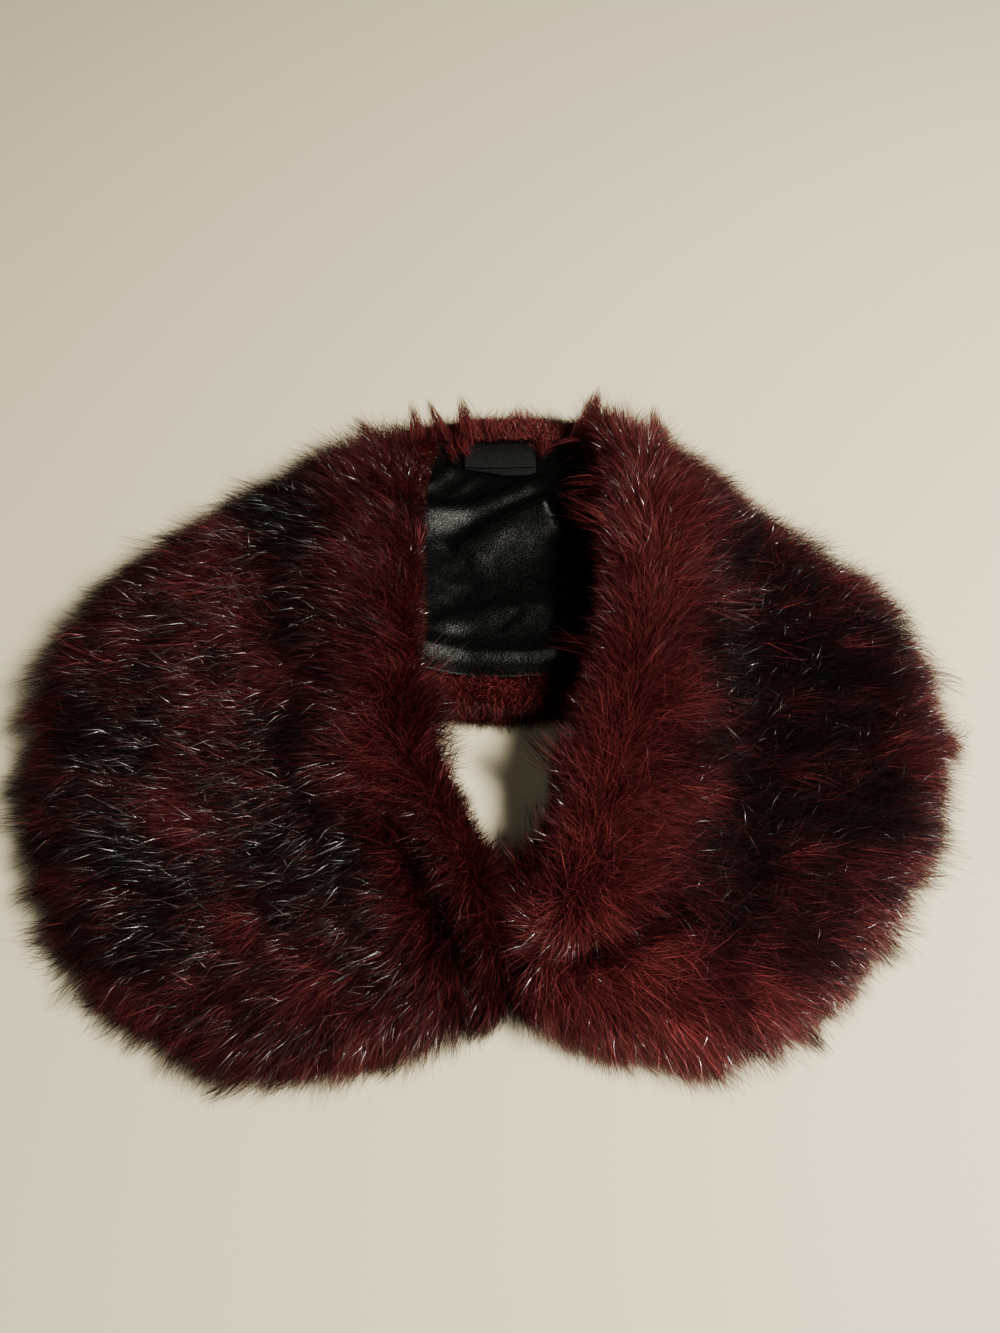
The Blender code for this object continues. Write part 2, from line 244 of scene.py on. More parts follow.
def section_width(row):
    """The width of a front's section, and the share of the full widths that a narrow one uses."""
    width = hypot(row.edge_x - row.neck_x, row.edge_y - row.neck_y)
    return width, min(1.0, width / FULL_WIDTH)


def section_way(row):
    """The direction of a front's section from its neck edge to its outer edge."""
    width, _ = section_width(row)
    return (row.edge_x - row.neck_x) / width, (row.edge_y - row.neck_y) / width


def arc_lengths(profile):
    """The distance along a profile to each of its points."""
    lengths = [0.0]
    for (d0, z0), (d1, z1) in zip(profile, profile[1:]):
        lengths.append(lengths[-1] + hypot(d1 - d0, z1 - z0))
    return lengths


def hollow_height(row, t, wall):
    """The height of a front's underside over the hollow, from its neck edge at 0 to its foot at 1."""
    foot = max(0.0, row.foot)
    top = max(row.rim - wall, foot)
    return foot + (top - foot) * float(ease(1.0 - t))


def skin_row(row):
    """The section of the skin inside a front's section, with room for the hair round it."""
    width, share = section_width(row)
    along_x, along_y = section_way(row)
    neck = SKIN_NECK_INSET * share
    centre = float(ease((CENTRE_REACH - abs(row.edge_x - CENTRE_SEAM_X)) / CENTRE_REACH))
    edge = min(SKIN_EDGE_INSET - (SKIN_EDGE_INSET - SKIN_CENTRE_INSET) * centre, width * 0.3)
    return row._replace(
        neck_x=row.neck_x + along_x * neck,
        neck_y=row.neck_y + along_y * neck,
        edge_x=row.edge_x - along_x * edge,
        edge_y=row.edge_y - along_y * edge,
        rim=row.rim - SKIN_BELOW,
        body=row.body - SKIN_BELOW,
        side_z=row.side_z * 0.7,
        side_width=max(6.0, row.side_width - 6.0),
    )


def front_outside(row, wall, steps):
    """Distance and height round the outside of a front: neck roll, top, outer edge and tuck."""
    width, share = section_width(row)
    roll = NECK_ROLL * share
    fall = RIM_FALL * share
    side = min(row.side_width, width - roll - 1.0)
    tuck = min(TUCK, side / 2.0)
    half_wall = min(wall, row.rim) / 2.0
    points = []
    for i in range(steps[0]):
        angle = -pi / 2 + pi * i / steps[0]
        points.append((roll - roll * cos(angle), row.rim - half_wall + half_wall * sin(angle)))
    for i in range(steps[1]):
        distance = roll + (width - side - roll) * i / steps[1]
        height = row.body + (row.rim - row.body) * float(ease(1.0 - (distance - roll) / fall))
        points.append((distance, height))
    for i in range(steps[2] + 1):
        angle = pi / 2 - pi / 2 * i / steps[2]
        distance = width - side + side * cos(angle)
        points.append((distance, row.side_z + (row.body - row.side_z) * sin(angle)))
    for i in range(1, steps[3] + 1):
        angle = -pi / 2 * i / steps[3]
        points.append((width - tuck + tuck * cos(angle), row.side_z + row.side_z * sin(angle)))
    return points


def front_underside(row, wall, steps):
    """Distance and height along the underside: flat on the table, then up over the hollow."""
    width, share = section_width(row)
    roll = NECK_ROLL * share
    tuck = min(TUCK, min(row.side_width, width - roll - 1.0) / 2.0)
    hollow = HOLLOW * share
    foot_end = min(hollow + HOLLOW_FOOT * share, width - tuck - 1.0)
    points = []
    for i in range(1, steps[0] + 1):
        points.append((width - tuck + (foot_end - width + tuck) * i / steps[0], 0.0))
    for i in range(steps[1]):
        t = 1.0 - i / steps[1]
        distance = roll + (min(hollow, foot_end - 1.0) - roll) * t
        points.append((distance, hollow_height(row, t, wall)))
    return points


def place_profile(row, profile, keep=1.0):
    """The profile's points in space, pressed together to keep times their height about the wall."""
    along_x, along_y = section_way(row)
    middle = min(row.body, FUR_WALL) / 2.0 + max(0.0, row.rim - FUR_WALL) / 2.0
    points = []
    for distance, height in profile:
        z = middle + (height - middle) * keep
        points.append((row.neck_x + along_x * distance, row.neck_y + along_y * distance, z))
    return points


def back_row_at(x):
    """The back stretch's section at x, found by halving the table's range."""
    low, high = 0.0, len(BACK) - 1.0
    while high - low > 0.0001:
        middle = (low + high) / 2.0
        if row_at(BACK, middle).x < x:
            low = middle
        else:
            high = middle
    return row_at(BACK, low)


BACK_ROWS = [back_row_at(x) for x in range(-157, 157)]


def back_room(x, y):
    """The height that the back stretch and its lining take up under a point of a front."""
    index = int(round(x - BACK_ROWS[0].x))
    if index < 0 or index >= len(BACK_ROWS):
        return 0.0
    row = BACK_ROWS[index]
    inside = min(y - row.hem_y, row.far_y - y, x - BACK[0].x, BACK[-1].x - x) + ROOM_MARGIN
    return (BACK_WALL + TURNED_IN_WALL + 2 * SEAM_GAP) * float(ease(inside / ROOM_MARGIN))


def turned_in(row):
    """How far the fur is turned in over the hem and over the neck edge of a section of the back."""
    most = (row.far_y - row.hem_y) * MOST_OF_DEPTH_TURNED_IN
    return min(HEM_TURNING, most), min(NECK_TURNING, most)


def drape_height(x, y):
    """How far the lining's folds lift it off the back stretch, for arrays of places."""
    x = np.asarray(x, dtype=float)
    y = np.asarray(y, dtype=float)
    t = np.linspace(0.0, 1.0, DRAPE_SAMPLES)
    lift = np.zeros(x.shape)
    for drape in DRAPES:
        curve_x = (1 - t) ** 2 * drape.start_x + 2 * t * (1 - t) * drape.bend_x + t * t * drape.end_x
        curve_y = (1 - t) ** 2 * drape.start_y + 2 * t * (1 - t) * drape.bend_y + t * t * drape.end_y
        gap_x = x[..., None] - curve_x
        gap_y = y[..., None] - curve_y
        reach = np.hypot(gap_x, gap_y)
        nearest = reach.argmin(axis=-1)
        distance = reach.min(axis=-1)
        above = np.take_along_axis(gap_y, nearest[..., None], axis=-1)[..., 0] > 0
        place = t[nearest]
        near = drape.near + (drape.near_end - drape.near) * place
        height = drape.height + (drape.height_end - drape.height) * place
        width = np.where(above, drape.far, near)
        ends = ease(place / 0.18) * ease((1.0 - place) / 0.18)
        lift = lift + height * ends * np.exp(-0.5 * (distance / width) ** 2)
    from_left = ease((x - LINING_FLAT_FROM[0]) / LINING_FADE[0])
    from_right = ease((LINING_FLAT_FROM[1] - x) / LINING_FADE[1])
    rise = LEFT_RISE * ease((LEFT_RISE_FROM - x) / LEFT_RISE_OVER)
    return (np.maximum(lift, -0.2) + rise) * from_left * from_right


def lining_top(x, y):
    """The height of the lining's upper face over the back stretch."""
    return BACK_WALL + SEAM_GAP + SATIN + drape_height(x, y)


def smooth_noise(x, y, scale, seed):
    """A smooth random field between -1 and 1, with spots about as wide as scale."""
    size = 64
    values = np.random.RandomState(seed).uniform(-1.0, 1.0, (size, size))
    u = np.asarray(x) / scale + 17.3
    v = np.asarray(y) / scale + 5.7
    column = np.floor(u).astype(int)
    line = np.floor(v).astype(int)
    right = ease(u - column)
    up = ease(v - line)
    corner = [[values[(column + i) % size, (line + j) % size] for i in (0, 1)] for j in (0, 1)]
    near, far = [left * (1 - right) + other * right for left, other in corner]
    return near * (1 - up) + far * up


def noise_at(root, scale, seed):
    """The smooth random field at hair roots."""
    return smooth_noise(root[:, 0], root[:, 1], scale, seed)


def bell(distance, width):
    """1 at no distance, falling smoothly to nothing over about twice the width."""
    return np.exp(-(distance / width) ** 2)


def new_material(name):
    """A new node material, its tree and its shader's inputs."""
    material = bpy.data.materials.new(name)
    material.use_nodes = True
    tree = material.node_tree
    return material, tree, tree.nodes["Principled BSDF"].inputs


def add_pattern(tree, kind, settings):
    """A noise or wave node in the object's own space, with its settings by socket."""
    coordinates = tree.nodes.new("ShaderNodeTexCoord")
    pattern = tree.nodes.new(kind)
    for socket, value in settings.items():
        pattern.inputs[socket].default_value = value
    tree.links.new(coordinates.outputs["Object"], pattern.inputs["Vector"])
    return pattern


def add_ramp(tree, source, stops):
    """A colour ramp driven by a socket, from its stops: a place and a colour each."""
    ramp = tree.nodes.new("ShaderNodeValToRGB")
    elements = ramp.color_ramp.elements
    for element, (place, colour) in zip(elements, (stops[0], stops[-1])):
        element.position = place
        element.color = colour
    for place, colour in stops[1:-1]:
        elements.new(place).color = colour
    tree.links.new(source, ramp.inputs["Fac"])
    return ramp.outputs["Color"]


def add_math(tree, operation, *values):
    """A Math node whose inputs are each a socket or a number."""
    node = tree.nodes.new("ShaderNodeMath")
    node.operation = operation
    for place, value in enumerate(values):
        if isinstance(value, float):
            node.inputs[place].default_value = value
        else:
            tree.links.new(value, node.inputs[place])
    return node.outputs["Value"]


def add_bump(tree, height, shader, strength, distance):
    """A bump on the shader's normal from a socket's height."""
    bump = tree.nodes.new("ShaderNodeBump")
    bump.inputs["Strength"].default_value = strength
    bump.inputs["Distance"].default_value = distance
    tree.links.new(height, bump.inputs["Height"])
    tree.links.new(bump.outputs["Normal"], shader["Normal"])


RED_ROOT = (0.092, 0.0155, 0.0165, 1.0)
RED_DEEP = (0.034, 0.0056, 0.0068, 1.0)
TIP_DARK = (0.0040, 0.0018, 0.0024, 1.0)
HAIR_RAMP = ((0.0, TIP_DARK), (0.45, RED_DEEP), (1.0, RED_ROOT))
HAIR_SHEEN = 0.1
HAIR_ROUGH = 0.52
GLINT_SMOOTHER = -0.26
GLINT_POWER = 3.0
SKIN_RAMP = ((0.35, (0.0090, 0.0012, 0.0012, 1.0)), (0.7, (0.034, 0.0036, 0.0030, 1.0)))
SATIN_RAMP = ((0.35, (0.0003, 0.0005, 0.0005, 1.0)), (0.7, (0.0012, 0.0017, 0.0015, 1.0)))
SATIN_SHEEN = 0.18
TWILL_SHARE = 0.10
TAPE_RAMP = ((0.0, (0.0004, 0.0005, 0.0006, 1.0)), (1.0, (0.0088, 0.0094, 0.0104, 1.0)))


def hair_material(name, dull, shine):
    """Hair that is rust-red at the root and near black at the tip; a few hairs stored as shiny glint."""
    material, tree, shader = new_material(name)
    stored = tree.nodes.new("ShaderNodeAttribute")
    stored.attribute_name = "hair"
    parts = tree.nodes.new("ShaderNodeSeparateColor")
    tree.links.new(stored.outputs["Color"], parts.inputs["Color"])
    redness = parts.outputs["Red"]
    # Green holds each hair's depth of colour, with the painted shade of the rims and valleys in it
    shade = parts.outputs["Green"]
    glint = parts.outputs["Blue"]
    grey = tree.nodes.new("ShaderNodeCombineColor")
    for channel in ("Red", "Green", "Blue"):
        tree.links.new(shade, grey.inputs[channel])
    each = tree.nodes.new("ShaderNodeMix")
    each.data_type = "RGBA"
    each.blend_type = "MULTIPLY"
    each.inputs["Factor"].default_value = 1.0
    tree.links.new(add_ramp(tree, redness, HAIR_RAMP), each.inputs["A"])
    tree.links.new(grey.outputs["Color"], each.inputs["B"])
    tree.links.new(each.outputs["Result"], shader["Base Color"])
    haze = add_math(tree, "MULTIPLY", shade, dull)
    flash = add_math(tree, "POWER", glint, GLINT_POWER)
    level = add_math(tree, "MULTIPLY_ADD", flash, shine, haze)
    shader["Specular IOR Level"].default_value = HAIR_SHEEN
    tree.links.new(level, shader["Specular IOR Level"])
    rough = add_math(tree, "MULTIPLY_ADD", glint, GLINT_SMOOTHER, HAIR_ROUGH)
    tree.links.new(rough, shader["Roughness"])
    return material


def skin_material(name):
    """The dense short undercoat: dark rust-red, mottled, with a fine fibrous bump."""
    material, tree, shader = new_material(name)
    mottle = add_pattern(tree, "ShaderNodeTexNoise", {"Scale": 60.0, "Detail": 5.0})
    tree.links.new(add_ramp(tree, mottle.outputs["Fac"], SKIN_RAMP), shader["Base Color"])
    fibres = add_pattern(tree, "ShaderNodeTexNoise", {"Scale": 1400.0, "Detail": 2.0})
    add_bump(tree, fibres.outputs["Fac"], shader, 0.9, 0.0012)
    shader["Roughness"].default_value = 1.0
    shader["Specular IOR Level"].default_value = 0.0
    return material


def satin_material(name):
    """Black satin: a grain of fine slubs over a twill, and a soft broad sheen."""
    material, tree, shader = new_material(name)
    grain = {"Scale": 1100.0, "Detail": 3.0, "Roughness": 0.6}
    slub = add_pattern(tree, "ShaderNodeTexNoise", grain).outputs["Fac"]
    tree.links.new(add_ramp(tree, slub, SATIN_RAMP), shader["Base Color"])
    twill = add_pattern(tree, "ShaderNodeTexWave", {"Scale": 900.0, "Distortion": 0.6})
    twill.bands_direction = "DIAGONAL"
    both = add_math(tree, "MULTIPLY_ADD", twill.outputs["Fac"], TWILL_SHARE, slub)
    add_bump(tree, both, shader, 0.5, 0.0005)
    sheen = tree.nodes.new("ShaderNodeMapRange")
    for socket, value in (("From Min", 0.35), ("From Max", 0.7), ("To Min", 0.05), ("To Max", 0.30)):
        sheen.inputs[socket].default_value = value
    tree.links.new(slub, sheen.inputs["Value"])
    shader["Specular IOR Level"].default_value = SATIN_SHEEN
    tree.links.new(sheen.outputs["Result"], shader["Specular IOR Level"])
    shader["Roughness"].default_value = 0.33
    return material


def tape_material(name):
    """Matte black woven tape with fine uneven ribs across it."""
    material, tree, shader = new_material(name)
    weave = {"Scale": 420.0, "Distortion": 7.0, "Detail": 3.0}
    ribs = add_pattern(tree, "ShaderNodeTexWave", weave).outputs["Fac"]
    tree.links.new(add_ramp(tree, ribs, TAPE_RAMP), shader["Base Color"])
    add_bump(tree, ribs, shader, 0.6, 0.0003)
    shader["Roughness"].default_value = 0.75
    shader["Specular IOR Level"].default_value = 0.12
    return material


def add_object(name, data):
    """An object in the scene for a mesh, a camera or a lamp."""
    added = bpy.data.objects.new(name, data)
    bpy.context.scene.collection.objects.link(added)
    return added


def finish_piece(name, mesh, material):
    """An object for a mesh in metres, riding on the collar's one body."""
    mesh.materials.append(material)
    piece = add_object(name, mesh)
    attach(piece, "root")
    return piece


def closed_loft(name, loops, material):
    """One closed body through loops of as many points each, with both ends closed by a fan."""
    mesh = bpy.data.meshes.new(name)
    builder = bmesh.new()
    rings = [[builder.verts.new([c * MM for c in point]) for point in loop] for loop in loops]
    count = len(rings[0])
    for ring, following in zip(rings, rings[1:]):
        for i in range(count):
            j = (i + 1) % count
            builder.faces.new((ring[i], ring[j], following[j], following[i]))
    for ring in (rings[0], rings[-1]):
        middle = builder.verts.new([sum(v.co[axis] for v in ring) / count for axis in range(3)])
        for i in range(count):
            builder.faces.new((ring[i], ring[(i + 1) % count], middle))
    bmesh.ops.recalc_face_normals(builder, faces=builder.faces)
    builder.to_mesh(mesh)
    builder.free()
    mesh.shade_smooth()
    return finish_piece(name, mesh, material)


SKIN_STEPS = (8, 20, 8, 3)
SKIN_UNDER_STEPS = (16, 8)
SKIN_SECTIONS = 64
HAIR_STEPS = (14, 44, 18, 4)
HAIR_SECTIONS = 140
HAIR_ENDS = (0.15, 0.12)
LEAST_SKIN_WALL = 3.0

# Valleys in which the fur parts, lying lower and with painted shade in them, each a line from start to end
Valley = namedtuple("Valley", "start_x start_y end_x end_y width depth")
VALLEYS = [Valley(*row) for row in (
    (-34, -66, -8, -116, 4.5, 9.0),
    (-8, -112, -6, -150, 3.5, 9.0),
    (66, -104, 36, -116, 4.5, 7.0),
    (10, -88, 10, -122, 3.0, 11.0),
    (10, -116, 10, -156, 4.4, 14.0),
    (30, -60, 22, -100, 3.0, 5.0),
    (50, 118, 66, 113, 2.6, 9.0),
    (-62, 92, -30, 84, 3.5, 4.0),
)]


def valley_depth(x, y):
    """How far the fur's skin lies lower in the valleys, for arrays of places."""
    depth = np.zeros(np.shape(x))
    for valley in VALLEYS:
        run_x = valley.end_x - valley.start_x
        run_y = valley.end_y - valley.start_y
        t = ((x - valley.start_x) * run_x + (y - valley.start_y) * run_y) / (run_x ** 2 + run_y ** 2)
        t = np.clip(t, 0.0, 1.0)
        gap = np.hypot(x - valley.start_x - run_x * t, y - valley.start_y - run_y * t)
        depth = np.maximum(depth, valley.depth * np.exp(-0.5 * (gap / valley.width) ** 2))
    return depth


def front_span(table, count):
    """Places along a front for its skin, stopping short of both ends to leave room for hair."""
    first = HAIR_ENDS[0]
    last = len(table) - 1 - HAIR_ENDS[1]
    return [first + (last - first) * i / (count - 1) for i in range(count)]


def make_front_skin(name, table, material):
    """The skin of a front: its solid's form, thinner by the height of the hair on it."""
    loops = []
    for place in front_span(table, SKIN_SECTIONS):
        row = skin_row(row_at(table, place))
        keep = fullness(place, len(table))
        outside = place_profile(row, front_outside(row, SKIN_WALL, SKIN_STEPS), keep)
        under = place_profile(row, front_underside(row, SKIN_WALL, SKIN_UNDER_STEPS), keep)
        top_z = max(z for _, _, z in outside)
        under = [
            (x, y, min(max(z, back_room(x, y), CLEAR_OF_TABLE), top_z - LEAST_SKIN_WALL))
            for x, y, z in under
        ]
        outside = [
            (x, y, max(z - float(valley_depth(x, y)) * z / row.rim, CLEAR_OF_TABLE))
            for x, y, z in outside
        ]
        loops.append(outside + under)
    return closed_loft(name, loops, material)


def front_grid(table):
    """The surface that a front's hair grows from, as a grid of points in millimetres."""
    points = []
    distance = []
    rims = []
    for place in front_span(table, HAIR_SECTIONS):
        row = skin_row(row_at(table, place))
        profile = front_outside(row, SKIN_WALL, HAIR_STEPS)
        points.append(place_profile(row, profile, fullness(place, len(table))))
        rims.append(row.rim)
        distance.append(arc_lengths(profile))
    points = np.array(points)
    share = points[:, :, 2] / np.array(rims)[:, None]
    points[:, :, 2] -= valley_depth(points[:, :, 0], points[:, :, 1]) * share
    return make_grid(points, np.array(distance))


def unit(vectors):
    """Vectors with their lengths made 1."""
    return vectors / np.maximum(np.linalg.norm(vectors, axis=-1, keepdims=True), 1e-9)


def along_skin(directions, normal):
    """Directions laid flat on the skin, with their lengths made 1."""
    return unit(directions - (directions * normal).sum(1, keepdims=True) * normal)


def make_grid(points, distance):
    """A grid with its normals, the directions along and across it, and the areas of its cells."""
    along = np.gradient(points, axis=0)
    across = np.gradient(points, axis=1)
    normal = unit(np.cross(along, across))
    if normal[:, points.shape[1] // 2, 2].mean() < 0:
        normal = -normal
    edge_a = points[1:, :-1] - points[:-1, :-1]
    edge_b = points[:-1, 1:] - points[:-1, :-1]
    return {
        "points": points,
        "distance": distance,
        "to_edge": distance[:, -1:] - distance,
        "along": along,
        "across": across,
        "normal": normal,
        "area": np.linalg.norm(np.cross(edge_a, edge_b), axis=-1),
    }


def on_grid(grid, key, i, j):
    """A grid's values at places between its points."""
    values = grid[key]
    row = np.clip(i.astype(int), 0, values.shape[0] - 2)
    column = np.clip(j.astype(int), 0, values.shape[1] - 2)
    u = i - row
    v = j - column
    if values.ndim == 3:
        u = u[:, None]
        v = v[:, None]
    near = values[row, column] * (1 - v) + values[row, column + 1] * v
    far = values[row + 1, column] * (1 - v) + values[row + 1, column + 1] * v
    return near * (1 - u) + far * u


def scatter(grid, count, random, density=None):
    """Random places on a grid, as many to each square millimetre, or by a density for each cell."""
    weight = grid["area"] if density is None else grid["area"] * density
    total = np.cumsum(weight.ravel())
    cell = np.searchsorted(total, random.uniform(0.0, total[-1], count))
    row, column = np.unravel_index(np.minimum(cell, weight.size - 1), weight.shape)
    return row + random.uniform(0.0, 1.0, count), column + random.uniform(0.0, 1.0, count)


def hair_paths(root, normal, nap, length, lift, settle, curl, steps):
    """Points along each hair, which leaves the skin at its lift and settles along the nap."""
    side = np.cross(normal, nap)
    points = [root]
    for k in range(steps):
        t = (k + 0.5) / steps
        angle = (lift * (1 - t) ** 1.3 + settle * t)[:, None]
        step = np.cos(angle) * nap + np.sin(angle) * normal + (curl * t)[:, None] * side
        points.append(points[-1] + unit(step) * (length / steps)[:, None])
    return np.stack(points, axis=1)


Coat = namedtuple(
    "Coat",
    "count per_clump spread length lift settle curl ruffle width steps gather glint twist",
)
# How much the facing of single ribbons differs, and how far wisps draw together by the outer edge
FACING_SPREAD = 0.60
EDGE_GATHER = 0.92
EDGE_GATHER_WIDTH = 18.0
# The size of tufts that are longer or shorter, and how much hair that stands up is ruffled
TUFT_SIZE = 11.0
LEAST_CELL = 0.3
UPRIGHT_RUFFLE = 1.2
# The height that the hair's tips bend away from, and over how much
HAIR_TOP = 57.0
HAIR_TOP_GIVE = 6.0


# The colour's share that the left front loses, the painted shade left under the rims, and the painted shade
# lost to a valley's depth
LEFT_DEEPER = 0.44
RIM_PAINTED_SHADE = 0.42
RIM_PAINTED_SHADE_FROM = 14.0
VALLEY_PAINTED_SHADE = 0.075
LEAST_VALLEY_PAINTED_SHADE = 0.15
SIDES_MEET_OVER = 30.0


def fur_depth_and_painted_shade(x, y, distance):
    """How deep the colour is: deeper on the left, whose nap leans from the light, with painted shade at the
    rims and down in the valleys.
    """
    left = 1.0 - LEFT_DEEPER * ease((CENTRE_SEAM_X + SIDES_MEET_OVER / 3.0 - x) / SIDES_MEET_OVER)
    # Painted shade: the hair by the neck edge, under the rims, is darker
    rim = RIM_PAINTED_SHADE + (1.0 - RIM_PAINTED_SHADE) * ease((distance - RIM_PAINTED_SHADE_FROM) / 30.0)
    # Painted shade: the hair is darker down in the valleys
    painted_valley_shade = np.maximum(LEAST_VALLEY_PAINTED_SHADE, 1.0 - VALLEY_PAINTED_SHADE * valley_depth(x, y))
    return left * rim * painted_valley_shade * (1.0 + patched(SHADES, x, y))


def varied(random, spread, count, least, most):
    """Shares round about 1, kept between least and most."""
    return random.normal(1.0, spread, count).clip(least, most)


def plain_shape(root, distance, to_edge):
    """Hair of its coat's whole length, which settles as its coat does."""
    return np.ones_like(distance), np.zeros_like(distance)


Clumps = namedtuple(
    "Clumps",
    "i j cell_along cell_across root nap length lift settle curl upright by_edge path tone shade",
)


def make_clumps(grid, coat, nap_at, tone_at, shape_at, random, density):
    """Where a coat's clumps grow, and how the hair in the middle of each one lies."""
    count = max(1, coat.count // coat.per_clump)
    i, j = scatter(grid, count, random, density)
    root = on_grid(grid, "points", i, j)
    normal = unit(on_grid(grid, "normal", i, j))
    distance = on_grid(grid, "distance", i, j)
    to_edge = on_grid(grid, "to_edge", i, j)
    nap = nap_at(grid, i, j, root, normal, distance)
    tuft = noise_at(root, TUFT_SIZE, 71)
    length = coat.length * varied(random, 0.10, count, 0.7, 1.3) * (1.0 + 0.16 * tuft)
    lift = coat.lift * varied(random, 0.14, count, 0.5, 1.5) * (1.0 + 0.25 * tuft)
    settle = coat.settle + random.normal(0.0, 0.10, count)
    curl = random.normal(0.0, 0.30, count)
    shade = varied(random, 0.16, count, 0.5, 1.6)
    # On the fronts the colour takes in painted shade under the rims and down in the valleys
    if shape_at is front_shape:
        shade = shade * fur_depth_and_painted_shade(root[:, 0], root[:, 1], distance)
    turn = random.normal(0.0, 0.14, count)[:, None]
    nap = unit(nap + turn * np.cross(normal, nap))
    share, upright = shape_at(root, distance, to_edge)
    settle = settle + upright
    path = hair_paths(root, normal, nap, length * share, lift, settle, curl, coat.steps)
    cell_along = np.maximum(np.linalg.norm(on_grid(grid, "along", i, j), axis=1), LEAST_CELL)
    cell_across = np.maximum(np.linalg.norm(on_grid(grid, "across", i, j), axis=1), LEAST_CELL)
    by_edge = bell(to_edge, EDGE_GATHER_WIDTH)
    tone = tone_at(root, distance, to_edge)
    return Clumps(i, j, cell_along, cell_across, root, nap, length, lift, settle, curl,
                  upright, by_edge, path, tone, shade)


def grow(name, grid, coat, nap_at, tone_at, material, seed, shape_at=plain_shape, density=None):
    """Grows one coat of hair on a grid, in clumps whose tips draw together, as one joined mesh."""
    random = np.random.RandomState(seed)
    clumps = make_clumps(grid, coat, nap_at, tone_at, shape_at, random, density)
    count = coat.count
    pick = np.sort(random.randint(0, len(clumps.i), count))
    own = Clumps(*[values[pick] for values in clumps])
    offset_a = random.normal(0.0, coat.spread, count)
    offset_b = random.normal(0.0, coat.spread, count)
    rows, columns, _ = grid["points"].shape
    i = np.clip(own.i + offset_a / own.cell_along, 0.0, rows - 1.001)
    j = np.clip(own.j + offset_b / own.cell_across, 0.0, columns - 1.001)
    root = on_grid(grid, "points", i, j)
    normal = unit(on_grid(grid, "normal", i, j))
    ruffle = (coat.ruffle + UPRIGHT_RUFFLE * own.upright)[:, None]
    nap = along_skin(own.nap + random.normal(0.0, 1.0, (count, 3)) * ruffle, normal)
    share, _ = shape_at(root, on_grid(grid, "distance", i, j), on_grid(grid, "to_edge", i, j))
    length = own.length * varied(random, 0.14, count, 0.55, 1.3) * share
    lift = own.lift * random.normal(1.0, 0.14, count)
    settle = own.settle + random.normal(0.0, 0.12, count)
    curl = own.curl + random.normal(0.0, coat.curl, count)
    path = hair_paths(root, normal, nap, length, lift, settle, curl, coat.steps)

    near = np.exp(-0.5 * ((root - own.root) ** 2).sum(1) / (2.0 * coat.spread) ** 2)
    hold = random.uniform(0.3, 1.0, count)
    hold = hold + (1.0 - hold) * 0.75 * own.by_edge
    gather = coat.gather + (EDGE_GATHER - coat.gather) * own.by_edge
    place = np.linspace(0.0, 1.0, coat.steps + 1)
    pull = (gather * near * hold)[:, None, None] * (place ** 1.5)[None, :, None]
    path = path + (own.path - path) * pull
    lowest = random.uniform(0.35, 1.6, count)[:, None]
    path[:, :, 2] = np.maximum(path[:, :, 2], lowest)
    over = np.maximum(path[:, :, 2] - HAIR_TOP, 0.0)
    path[:, :, 2] += HAIR_TOP_GIVE * (1.0 - np.exp(-over / HAIR_TOP_GIVE)) - over

    tone = np.clip(own.tone + random.normal(0.0, 0.17, count), 0.0, 1.0)
    shade = own.shade * np.exp(random.normal(0.0, 0.62, count)).clip(0.2, 3.4)
    glint = coat.glint * random.uniform(0.2, 1.0, count)
    return hair_mesh(name, path, normal, tone, shade, glint, coat, random, material)


def hair_mesh(name, path, normal, tone, shade, glint, coat, random, material):
    """Tapered ribbons along the paths, with each point's redness, shade and shine stored on it."""
    count, points, _ = path.shape
    steps = points - 1
    facing = unit(normal + random.normal(0.0, FACING_SPREAD, (count, 3)))
    turned = unit(np.cross(unit(path[:, 1] - path[:, 0]), facing))
    half = coat.width / 2.0 * random.uniform(0.7, 1.3, count)
    taper = 1.0 - 0.6 * (np.arange(steps) / steps)
    vertices = np.empty((count, 2 * steps + 1, 3))
    for k in range(steps):
        direction = path[:, k + 1] - path[:, max(k - 1, 0)]
        angle = coat.twist * (k / steps - 0.5)
        seen = facing * cos(angle) + turned * sin(angle)
        reach = unit(np.cross(direction, seen)) * (half * taper[k])[:, None]
        vertices[:, 2 * k] = path[:, k] - reach
        vertices[:, 2 * k + 1] = path[:, k] + reach
    vertices[:, 2 * steps] = path[:, steps]
    faces = []
    for k in range(steps - 1):
        a = 2 * k
        faces += [(a, a + 1, a + 3), (a, a + 3, a + 2)]
    a = 2 * (steps - 1)
    faces.append((a, a + 1, a + 2))
    start = (np.arange(count) * (2 * steps + 1))[:, None, None]
    corners = (np.array(faces)[None] + start).reshape(-1)

    level = np.append(np.repeat(np.arange(steps), 2), steps)
    place = level / steps
    turning = 1.15 - 1.1 * tone[:, None]
    red = 1.0 - ease((place - turning + 0.3) / 0.6)
    colour = np.ones((count, 2 * steps + 1, 4), dtype=np.float32)
    colour[:, :, 0] = red * (0.55 + 0.45 * ease((place + 0.15) / 0.5))
    colour[:, :, 1] = shade[:, None]
    shining = random.randint(1, max(2, steps), count)
    colour[:, :, 2] = glint[:, None] * (level == shining[:, None])

    mesh = bpy.data.meshes.new(name)
    mesh.vertices.add(count * (2 * steps + 1))
    mesh.vertices.foreach_set("co", (vertices * MM).astype(np.float32).ravel())
    triangles = len(corners) // 3
    mesh.loops.add(len(corners))
    mesh.loops.foreach_set("vertex_index", corners.astype(np.int32))
    mesh.polygons.add(triangles)
    mesh.polygons.foreach_set("loop_start", np.arange(0, 3 * triangles, 3, dtype=np.int32))
    mesh.update(calc_edges=True)
    stored = mesh.attributes.new("hair", "FLOAT_COLOR", "POINT")
    stored.data.foreach_set("color", colour.ravel())
    mesh.shade_smooth()
    return finish_piece(name, mesh, material)


